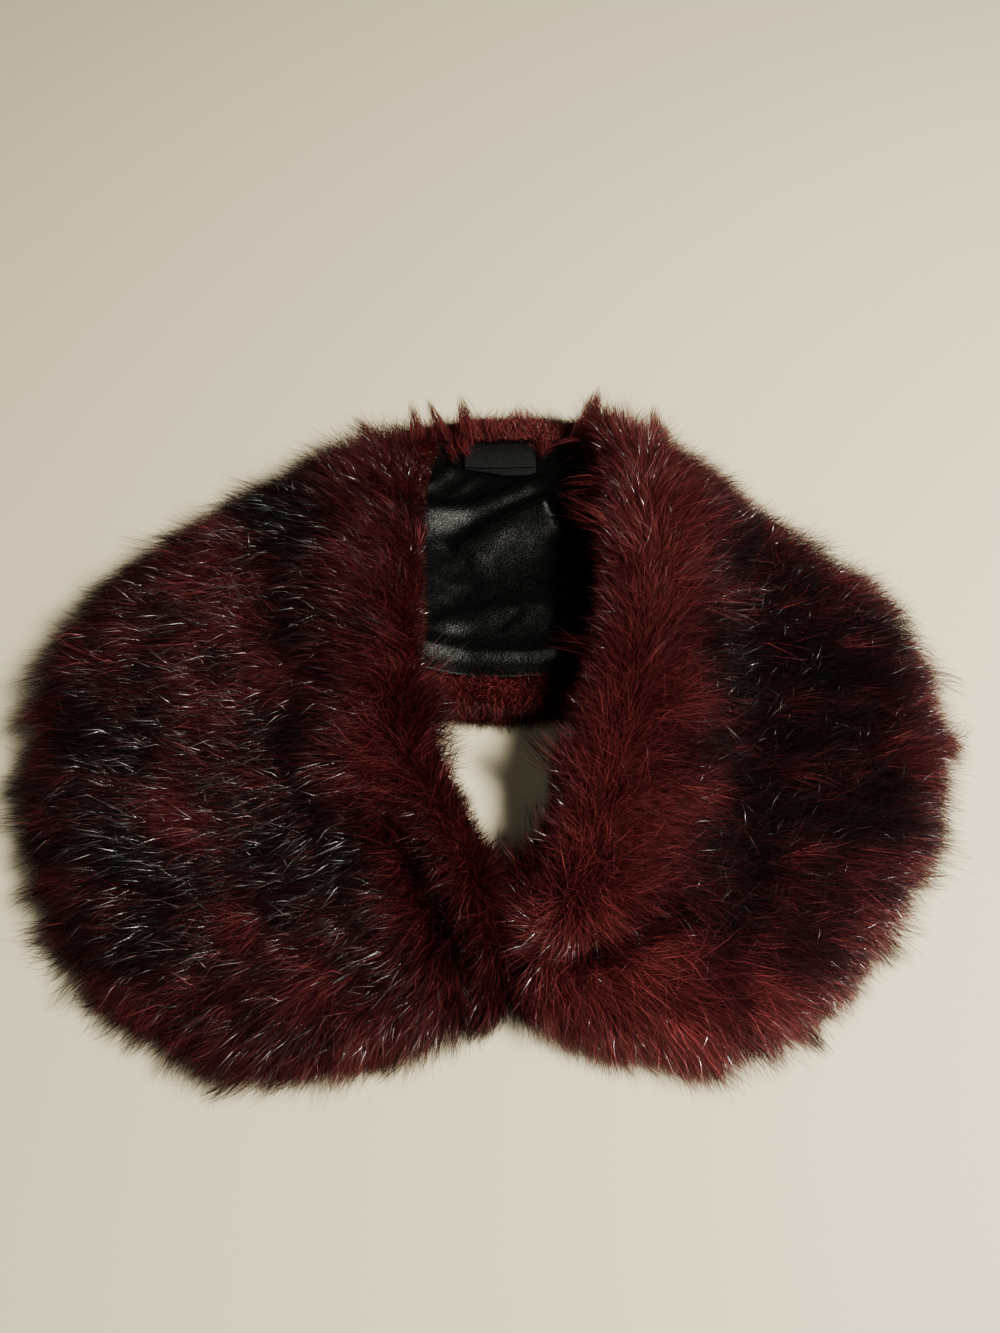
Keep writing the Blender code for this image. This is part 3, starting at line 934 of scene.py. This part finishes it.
# How the nap of each front lies: the distance from under the neck edge at which the hair parts, how much
# the hair inside the parting runs along the rim, the way the whole front is combed, and the outer edge's
Nap = namedtuple("Nap", "part_at along_rim comb_x comb_y edge_y")
LEFT_NAP = Nap(24.0, -0.35, -0.50, -0.08, 0.0)
RIGHT_NAP = Nap(46.0, -0.62, 0.32, 0.16, -0.55)
FALL_FROM_Y = -80.0
FALL_OVER = 48.0
# The parting's width, how far it wanders, and how far an overhang moves it
PART_OVER = 26.0
PART_WANDER = 9.0
PART_AT_OVERHANG = 20.0
# How much the hair leans away from the seam of the front edges, and where
SEAM_LEAN = 0.9
SEAM_LEAN_WIDTH = 9.0
SEAM_LEAN_FROM_Y = -76.0
EDGE_COMB_WIDTH = 26.0


def falling_share(x, y):
    """How much the hair falls towards the front edges and the hem, with a ragged start."""
    return ease((FALL_FROM_Y - y + 16.0 * smooth_noise(x, y, 12.0, 28)) / FALL_OVER)


def front_nap(nap):
    """The way the hair lies on a front: out from the parting, combed a little, and in over the rim."""
    def at(grid, i, j, root, normal, distance):
        across = unit(on_grid(grid, "across", i, j))
        along = unit(on_grid(grid, "along", i, j))
        combed = ease((np.abs(root[:, 0] - CENTRE_SEAM_X) - 12.0) / 30.0)[:, None]
        outward = across + np.array((nap.comb_x, nap.comb_y, 0.0)) * combed
        swirl = 0.30 * noise_at(root, 34.0, 5) + 0.34 * noise_at(root, 14.0, 9)
        outward = outward + swirl[:, None] * np.cross(normal, across)
        falling = falling_share(root[:, 0], root[:, 1])[:, None]
        inward = along * (nap.along_rim * (1.0 - falling) + 1.3 * falling)
        inward = inward - across * (1.0 - 0.4 * abs(nap.along_rim)) * (1.0 - 0.6 * falling)
        wander = PART_WANDER * noise_at(root, 17.0, 27)
        part_at = nap.part_at + PART_AT_OVERHANG * patched(OVERHANGS, root[:, 0], root[:, 1])
        side = ease((distance - part_at + wander) / PART_OVER + 0.5)[:, None]
        direction = unit(outward) * side + unit(inward) * (1.0 - side)
        from_seam = root[:, 0] - CENTRE_SEAM_X
        lean = SEAM_LEAN * bell(from_seam, SEAM_LEAN_WIDTH) * ease((SEAM_LEAN_FROM_Y - root[:, 1]) / 20.0)
        direction[:, 0] += lean * np.sign(from_seam)
        direction[:, 1] += nap.edge_y * bell(on_grid(grid, "to_edge", i, j), EDGE_COMB_WIDTH)
        return along_skin(direction, normal)
    return at


# Where the hair of the neck edges is long enough to hang over the neck hole
OVERHANGS = [Patch(*row) for row in (
    (-25, -24, 20, 1.25),
    (-10, -54, 12, 0.40),
    (10, -86, 16, 0.95),
    (27, -50, 14, 0.36),
)]


# The notch in the hem, where the two front edges meet, as a place and a share of the hair's length
NOTCH_FROM_Y = -112.0
NOTCH_WIDTH = 7.0
NOTCH_CUT = 0.6
# The hair is short round the neck edge, stands up along the rim, and is ragged by the outer edge
NECK_HAIR = 0.26
NECK_HAIR_UNTIL = 16.0
UPRIGHT_AT = 42.0
UPRIGHT_WIDTH = 19.0
UPRIGHT = 0.62
OVERHANG_UPRIGHT = 0.55
TRIM_WIDTH = 14.0
TRIM = 0.15
RAGGED = 0.44


def notch_share(root):
    """The hair's length as a share by the notch in the hem."""
    near_seam = bell(root[:, 0] - CENTRE_SEAM_X, NOTCH_WIDTH)
    return 1.0 - NOTCH_CUT * near_seam * ease((NOTCH_FROM_Y - root[:, 1]) / 16.0)


def front_shape(root, distance, to_edge):
    """The hair's length as a share, short at the neck edge, and how upright it stands by the rim."""
    falling = falling_share(root[:, 0], root[:, 1])
    share = NECK_HAIR + (1.0 - NECK_HAIR) * ease((distance - NECK_HAIR_UNTIL) / 26.0)
    overhang = patched(OVERHANGS, root[:, 0], root[:, 1]) * ease((44.0 - distance) / 24.0)
    share = np.maximum(share, overhang)
    upright = UPRIGHT * bell(distance - UPRIGHT_AT, UPRIGHT_WIDTH) * (1.0 - falling)
    upright = upright + OVERHANG_UPRIGHT * overhang
    ragged = noise_at(root, 5.5, 29)
    trimmed = 1.0 + (RAGGED * ragged - TRIM) * bell(to_edge, TRIM_WIDTH)
    return np.maximum(share, 0.75 * falling) * trimmed * notch_share(root), upright


# How dark the hair is in all, and how much less so at the outer edge of each front, where a painted red glow
# stands for light shining through the fibres
TONE = 0.56
PAINTED_RED_GLOW_LEFT = 0.42
PAINTED_RED_GLOW_RIGHT = 0.84
WISP_TONE_LEFT = 0.70
WISP_TONE_RIGHT = 0.50


def front_tone(root, distance, to_edge):
    """How dark the hair is: red by the neck and front edges, red at the outer edge as a painted glow of light
    through the fibres, blotchy elsewhere.
    """
    x, y = root[:, 0], root[:, 1]
    tone = TONE + 0.14 * smooth_noise(x, y, 38.0, 21) + 0.42 * smooth_noise(x * 0.8, y * 1.4, 12.0, 22)
    tone = tone + 0.26 * smooth_noise(x, y * 1.5, 5.0, 23) + patched(TONES, x, y)
    red_band = ease((distance - 40.0) / 30.0)
    front_edge = ease((np.abs(x - CENTRE_SEAM_X) + np.maximum(0.0, y + 60.0) - 22.0) / 26.0)
    outer = ease((to_edge - 4.0) / 34.0)
    # Painted glow: the tips turn red toward the outer edge, more on the right, as light shining through the
    # fibres
    painted_red_glow = np.where(x > CENTRE_SEAM_X, PAINTED_RED_GLOW_RIGHT, PAINTED_RED_GLOW_LEFT)
    tone = tone * (0.14 + 0.86 * red_band * (0.3 + 0.7 * front_edge)) * (1.0 - painted_red_glow * (1.0 - outer))
    # Painted shade: the hair's tips are darker down in the valleys
    tone = tone + 0.08 * valley_depth(x, y)
    return np.clip(tone, 0.0, 1.0)


Lock = namedtuple("Lock", "x y z tip_x tip_y tip_z width hairs")
LOCKS = [Lock(*row) for row in (
    (-38, 141, 26, -43, 167, 31, 2.8, 110),
    (-24, 147, 22, -34, 169, 30, 2.2, 110),
    (-12, 147, 22, -17, 170, 31, 3.0, 200),
    (2, 150, 18, 4, 163, 25, 2.2, 60),
    (50, 143, 26, 58, 177, 31, 3.8, 300),
    (59, 140, 28, 61, 165, 31, 2.4, 110),
    (69, 138, 28, 64, 163, 31, 2.4, 110),
    (87, 140, 28, 88, 163, 31, 3.4, 130),
    (-60, 136, 26, -74, 156, 31, 3.4, 130),
    (-15, 147, 20, -11, 133, 22, 3.6, 130),
    (-22, 142, 20, -17, 130, 22, 3.0, 70),
    (28, 147, 20, 27, 133, 22, 3.6, 130),
)]
LOCK_HAIR = 0.22


def make_locks(name, material):
    """Separate pointed locks that stand up along the back neck edge and the fronts' far ends."""
    random = np.random.RandomState(81)
    paths = []
    for lock in LOCKS:
        spread = random.normal(0.0, 1.0, (lock.hairs, 3)) * (lock.width, lock.width, 1.5)
        root = np.array((lock.x, lock.y, lock.z)) + spread
        tip = np.array((lock.tip_x, lock.tip_y, lock.tip_z))
        share = random.uniform(0.45, 1.0, (lock.hairs, 1))
        loose = lock.width * random.uniform(0.1, 0.5, (lock.hairs, 1))
        end = root + (tip - root) * share + random.normal(0.0, 1.0, (lock.hairs, 3)) * loose
        bow = np.array((random.normal(0.0, 1.5), 0.0, 3.0)) + random.normal(0.0, 0.9, (lock.hairs, 3))
        path = [root]
        for t in (0.34, 0.68):
            path.append(root + (end - root) * t ** 0.85 + bow * 4 * t * (1 - t))
        path.append(end)
        paths.append(np.stack(path, axis=1))
    path = np.concatenate(paths)
    count = len(path)
    normal = np.tile((0.0, -0.3, 1.0), (count, 1))
    tone = random.uniform(0.1, 0.5, count)
    shade = random.normal(1.0, 0.15, count).clip(0.6, 1.4)
    glint = np.zeros(count)
    return hair_mesh(name, path, normal, tone, shade, glint, EDGE._replace(width=LOCK_HAIR), random, material)


def back_grid(rows_from, rows_to, profile):
    """A strip of the back's surface between two places along it, by a profile of y and height."""
    points = []
    distance = []
    for place in np.linspace(rows_from, rows_to, 60):
        row = row_at(BACK, place)
        line = profile(row)
        points.append([(row.x, y, z) for y, z in line])
        distance.append(arc_lengths(line))
    return make_grid(np.array(points), np.array(distance))


def strip_line(inner, bend, way):
    """A turned-in strip over the wall: flat from its inner edge to the bend, then round the edge."""
    top = BACK_WALL + 0.5
    line = [(inner + (bend - inner) * i / 6, top) for i in range(7)]
    for angle in np.linspace(0.2, pi, 8):
        line.append((bend + way * sin(angle), top * 0.5 + top * 0.5 * cos(angle)))
    return line


def neck_strip(row):
    """The fur turned in over the back neck edge and the edge itself, from the lining outwards."""
    _, strip = turned_in(row)
    far = row.far_y - BACK_SKIN_INSET * 0.6
    return strip_line(row.far_y - strip + 0.5, far - 6.0, 6.0)


def hem_strip(row):
    """The fur turned in over the back's hem and the hem itself, from the lining outwards."""
    strip, _ = turned_in(row)
    near = row.hem_y + BACK_SKIN_INSET * 0.5
    return strip_line(row.hem_y + strip - 0.5, near + 5.0, -5.0)


def make_back_skin(name, material):
    """The skin of the back stretch, inside its solid."""
    loops = []
    top = BACK_WALL - 0.3
    end = [(4.0, CLEAR_OF_TABLE), (1.0, 2.0), (0.0, 6.0), (0.8, 11.0), (4.0, top)]
    for place in np.linspace(0.5, len(BACK) - 1.5, 60):
        row = row_at(BACK, place)
        hem = row.hem_y + 4.0
        far = row.far_y - 5.0
        across = [(far - hem - 8.0) * i / 20 for i in range(1, 20)]
        line = [(hem + inset, z) for inset, z in end]
        line += [(hem + 4.0 + step, top) for step in across]
        line += [(far - inset, z) for inset, z in reversed(end)]
        line += [(far - 4.0 - step, CLEAR_OF_TABLE) for step in across]
        loops.append([(row.x, y, z) for y, z in line])
    return closed_loft(name, loops, material)


def lining_columns():
    """Places across the lining, close together where it shows."""
    left = np.linspace(-100.0, -50.0, 9)
    right = np.linspace(68.0, 112.0, 8)
    return np.concatenate((left[:-1], np.linspace(-50.0, 68.0, 104), right[1:]))


def make_back_lining(name, material):
    """The satin panel: a thin sheet on the back stretch with its folds and fine creases."""
    loops = []
    for x in lining_columns():
        row = back_row_at(x)
        hem_in, far_in = turned_in(row)
        low = row.hem_y + hem_in - 1.5
        high = row.far_y - far_in + 2.0
        ys = np.linspace(low, high, 108)
        xs = np.full(ys.shape, x)
        crease = 0.22 * smooth_noise(xs + 0.4 * ys, ys - 0.2 * xs, 6.0, 31)
        crease = crease + 0.25 * smooth_noise(xs, ys * 1.6, 22.0, 32)
        fade = ease((ys - low) / 6.0) * ease((high - ys) / 6.0)
        zs = lining_top(xs, ys) + crease * fade + 0.5
        top = [(x, y, z) for y, z in zip(ys, zs)]
        under = [(x, y, z - 0.35) for _, y, z in reversed(top)]
        loops.append(top + under)
    return closed_loft(name, loops, material)


def make_front_lining(name, table, material):
    """The satin under a front's neck roll, on the wall's own underside."""
    loops = []
    for place in np.linspace(2.5, 9.0, 40):
        row = row_at(table, place)
        _, share = section_width(row)
        profile = []
        for t in np.linspace(0.06, 0.52, 12):
            distance = (NECK_ROLL + (HOLLOW - NECK_ROLL) * t) * share
            profile.append((distance, hollow_height(row, t, FUR_WALL) - 2 * SEAM_GAP))
        under = [(distance, height - 0.5) for distance, height in reversed(profile)]
        loops.append(place_profile(row, profile + under))
    return closed_loft(name, loops, material)


def make_label(name, material):
    """The woven strip folded in two, bowed a little between its ends, which the fur covers."""
    loops = []
    half = LABEL_WIDTH / 2
    for part in np.linspace(0.0, 1.0, 41):
        x = LABEL_MIDDLE_X - half + LABEL_WIDTH * part
        bow = 1.0 - (2.0 * part - 1.0) ** 2
        near = LABEL_FAR_Y - LABEL_DEPTH - 0.8 * bow
        lower = near - 0.6 - 3.4 * float(ease(part / 0.7)) * float(ease((1.15 - part) / 0.3))
        middle = (near + LABEL_FAR_Y) / 2
        under = lining_top(np.full(4, x), np.array((lower, near, middle, LABEL_FAR_Y)))
        base = float(under.max()) + SEAM_GAP
        lift = 0.6 * bow + 0.12 * sin(part * 19.0)
        section = (
            (lower, 1.0, 0.0),
            (lower, 1.0, 0.8),
            (near + 1.6, 1.0, 1.0),
            (near + 1.6, 1.0, 1.15),
            (near, 1.0, 1.3),
            (near, 1.0, 1.9),
            (near + 1.0, 1.0, 2.1),
            (middle, 1.0, 2.1),
            (LABEL_FAR_Y, 0.0, 1.7),
            (LABEL_FAR_Y, 0.0, 0.0),
            (middle, 0.5, 0.0),
        )
        loops.append([
            (x, y, base + lift * raised + LABEL_LAYER * layers)
            for y, raised, layers in section
        ])
    return closed_loft(name, loops, material)


TABLE_COLOUR = (0.70, 0.640, 0.448, 1.0)
TABLE_REACH = 3.0
MIDDLE = (0.0, 0.0, 0.0)
KEY_COLOUR = (1.0, 0.93, 0.82)
FILL_COLOUR = (1.0, 0.96, 0.92)
AIR_COLOUR = (1.0, 0.88, 0.76, 1.0)
AIR_STRENGTH = 0.12


def add_camera():
    """The camera, looking down at the table over the front hem."""
    data = bpy.data.cameras.new("camera")
    data.lens = CAMERA_LENS
    data.sensor_width = CAMERA_SENSOR
    camera = add_object("camera", data)
    camera.location = CAMERA_AT
    camera.rotation_euler = (radians(CAMERA_TILT), 0.0, 0.0)
    bpy.context.scene.camera = camera


def add_area(name, at, look_at, size, power, colour):
    """A square soft lamp that faces a point."""
    data = bpy.data.lights.new(name, "AREA")
    data.size = size
    data.energy = power
    data.color = colour
    lamp = add_object(name, data)
    lamp.location = at
    away = np.array(at) - np.array(look_at)
    lamp.rotation_euler = (
        float(np.arctan2(hypot(away[0], away[1]), away[2])),
        0.0,
        float(np.arctan2(away[0], -away[1])),
    )


def add_stage():
    """A plain pale table top and soft studio light."""
    mesh = bpy.data.meshes.new("table_top")
    corners = [(x * TABLE_REACH, y * TABLE_REACH, 0.0) for x, y in ((-1, -1), (1, -1), (1, 1), (-1, 1))]
    mesh.from_pydata(corners, [], [(0, 1, 2, 3)])
    material, _, shader = new_material("table_top")
    shader["Base Color"].default_value = TABLE_COLOUR
    shader["Roughness"].default_value = 0.6
    shader["Specular IOR Level"].default_value = 0.3
    mesh.materials.append(material)
    table = add_object("table_top", mesh)
    add_area("key", (0.80, -0.22, 1.08), MIDDLE, 0.28, 52.0, KEY_COLOUR)
    add_area("fill", (-0.9, -0.8, 1.2), MIDDLE, 1.4, 1.5, FILL_COLOUR)
    world = bpy.data.worlds.new("studio")
    world.use_nodes = True
    air = world.node_tree.nodes["Background"]
    air.inputs["Color"].default_value = AIR_COLOUR
    air.inputs["Strength"].default_value = AIR_STRENGTH
    bpy.context.scene.world = world


UNDER = Coat(74000, 26, 2.8, 17.0, 0.95, 0.34, 0.30, 0.20, 0.29, 1, 0.30, 0.00, 0.0)
GUARD = Coat(62000, 14, 1.7, 23.5, 0.86, 0.20, 0.50, 0.30, 0.22, 2, 0.58, 1.26, 1.8)
GLINT = Coat(17000, 2, 2.8, 23.0, 0.92, 0.20, 0.80, 0.80, 0.12, 3, 0.10, 1.30, 2.2)
GUARD_LEFT = GUARD._replace(glint=1.06)
GLINT_LEFT = GLINT._replace(count=12000)
# On the right the glint hairs bow down, so that they turn to the light
GLINT_RIGHT = GLINT._replace(length=26.0, lift=1.05, settle=-0.18)
WISP = Coat(8500, 36, 2.6, 31.0, 0.66, 0.06, 0.50, 0.14, 0.25, 3, 0.97, 0.60, 1.2)
WISPS_ELSEWHERE = 0.06
STRIP = Coat(11000, 6, 1.5, 6.0, 1.10, 0.55, 1.20, 1.10, 0.24, 2, 0.15, 0.80, 1.6)
EDGE = Coat(8000, 10, 1.9, 14.5, 0.65, 0.24, 0.90, 0.60, 0.20, 3, 0.60, 0.80, 1.6)
HEM_EDGE = EDGE._replace(count=5000, length=12.0, settle=0.1, width=0.16)


def add_front(side, table, nap, guard, glints, materials, seed):
    """A front: its skin, an undercoat, guard hairs, shiny stray hairs and wisps round the edge."""
    grid = front_grid(table)
    skin = make_front_skin("fur_front_" + side + "_skin", table, materials["skin"])
    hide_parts("fur_front_" + side)
    hair = materials["hair"]
    coats = []
    for kind, coat in (("under", UNDER), ("guard", guard), ("glint", glints)):
        name = "fur_front_" + side + "_" + kind
        coats.append(grow(name, grid, coat, front_nap(nap), front_tone, hair, seed, front_shape))
        seed += 1
    near_edge = WISPS_ELSEWHERE + bell(grid["to_edge"][:-1, :-1], 16.0)
    name = "fur_front_" + side + "_wisps"
    wisps = grow(name, grid, WISP, front_nap(nap), wisp_tone, hair, seed, wisp_shape, near_edge)
    return skin, coats + [wisps]


def wisp_shape(root, distance, to_edge):
    """The wisps keep their whole length, a little shorter in the middle of the front edges."""
    share = 0.75 + 0.25 * ease(np.abs(root[:, 0] - CENTRE_SEAM_X) / 60.0)
    return share * notch_share(root), np.zeros_like(distance)


def wisp_tone(root, distance, to_edge):
    """The long wisps round the outer edge have dark tips, less so on the right."""
    return np.where(root[:, 0] > CENTRE_SEAM_X, WISP_TONE_RIGHT, WISP_TONE_LEFT)


def edge_shape(root, distance, to_edge):
    """The hair of the back's edges: short on the turned-in strip, long at the edge itself."""
    return 0.3 + 0.7 * ease((distance - 10.0) / 8.0), np.full_like(distance, 0.15)


def away_nap(direction):
    """Hair that all lies one way, with a little swirl."""
    def at(grid, i, j, root, normal, distance):
        way = np.tile(direction, (len(root), 1))
        swirl = 0.6 * noise_at(root, 9.0, 41)
        return along_skin(way + swirl[:, None] * np.cross(normal, way), normal)
    return at


def strip_tone(root, distance, to_edge):
    """Turned-in fur is red, since it lies in the light with its roots showing."""
    tone = 0.30 + 0.30 * noise_at(root, 14.0, 51) + 0.30 * noise_at(root, 5.0, 52)
    return np.clip(tone, 0.0, 1.0)


def add_back(materials):
    """The back stretch: its skin, the turned-in strips and the hair beyond its edges."""
    skin = make_back_skin("fur_back_skin", materials["skin"])
    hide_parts("fur_back")
    neck = back_grid(5.2, 10.9, neck_strip)
    hem = back_grid(4.0, 12.0, hem_strip)
    hair = materials["hair"]
    coats = [
        grow("neck_turning_hair", neck, STRIP, away_nap((0.0, 1.0, 0.2)), strip_tone, hair, 61),
        grow("hem_turning_hair", hem, STRIP, away_nap((0.1, -1.0, 0.2)), strip_tone, hair, 62),
        grow("neck_edge_hair", neck, EDGE, away_nap((0.0, 1.0, 0.1)), strip_tone, hair, 63, edge_shape),
        grow("hem_edge_hair", hem, HEM_EDGE, away_nap((0.1, -1.0, 0.0)), strip_tone, hair, 64, edge_shape),
        make_locks("neck_locks", hair),
    ]
    return skin, coats


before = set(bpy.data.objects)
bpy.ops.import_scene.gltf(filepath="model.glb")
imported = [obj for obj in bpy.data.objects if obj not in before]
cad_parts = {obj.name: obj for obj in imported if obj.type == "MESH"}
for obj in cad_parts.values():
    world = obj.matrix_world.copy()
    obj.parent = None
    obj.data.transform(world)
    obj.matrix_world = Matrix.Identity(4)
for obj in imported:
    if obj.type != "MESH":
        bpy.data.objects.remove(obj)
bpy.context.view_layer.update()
add_camera()
add_stage()
MATERIALS = {
    "skin": skin_material("fur_skin"),
    "hair": hair_material("hair", 0.05, 0.7),
    "satin": satin_material("satin"),
    "tape": tape_material("woven_tape"),
}
left_skin, left_coats = add_front("left", LEFT_FRONT, LEFT_NAP, GUARD_LEFT, GLINT_LEFT, MATERIALS, 11)
right_skin, right_coats = add_front("right", RIGHT_FRONT, RIGHT_NAP, GUARD, GLINT_RIGHT, MATERIALS, 15)
back_skin, back_coats = add_back(MATERIALS)
lining = make_back_lining("satin_back", MATERIALS["satin"])
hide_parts("lining_back")
lining_left = make_front_lining("satin_left", LEFT_FRONT, MATERIALS["satin"])
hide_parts("lining_left")
lining_right = make_front_lining("satin_right", RIGHT_FRONT, MATERIALS["satin"])
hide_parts("lining_right")
label = make_label("woven_label", MATERIALS["tape"])
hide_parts("neck_label")
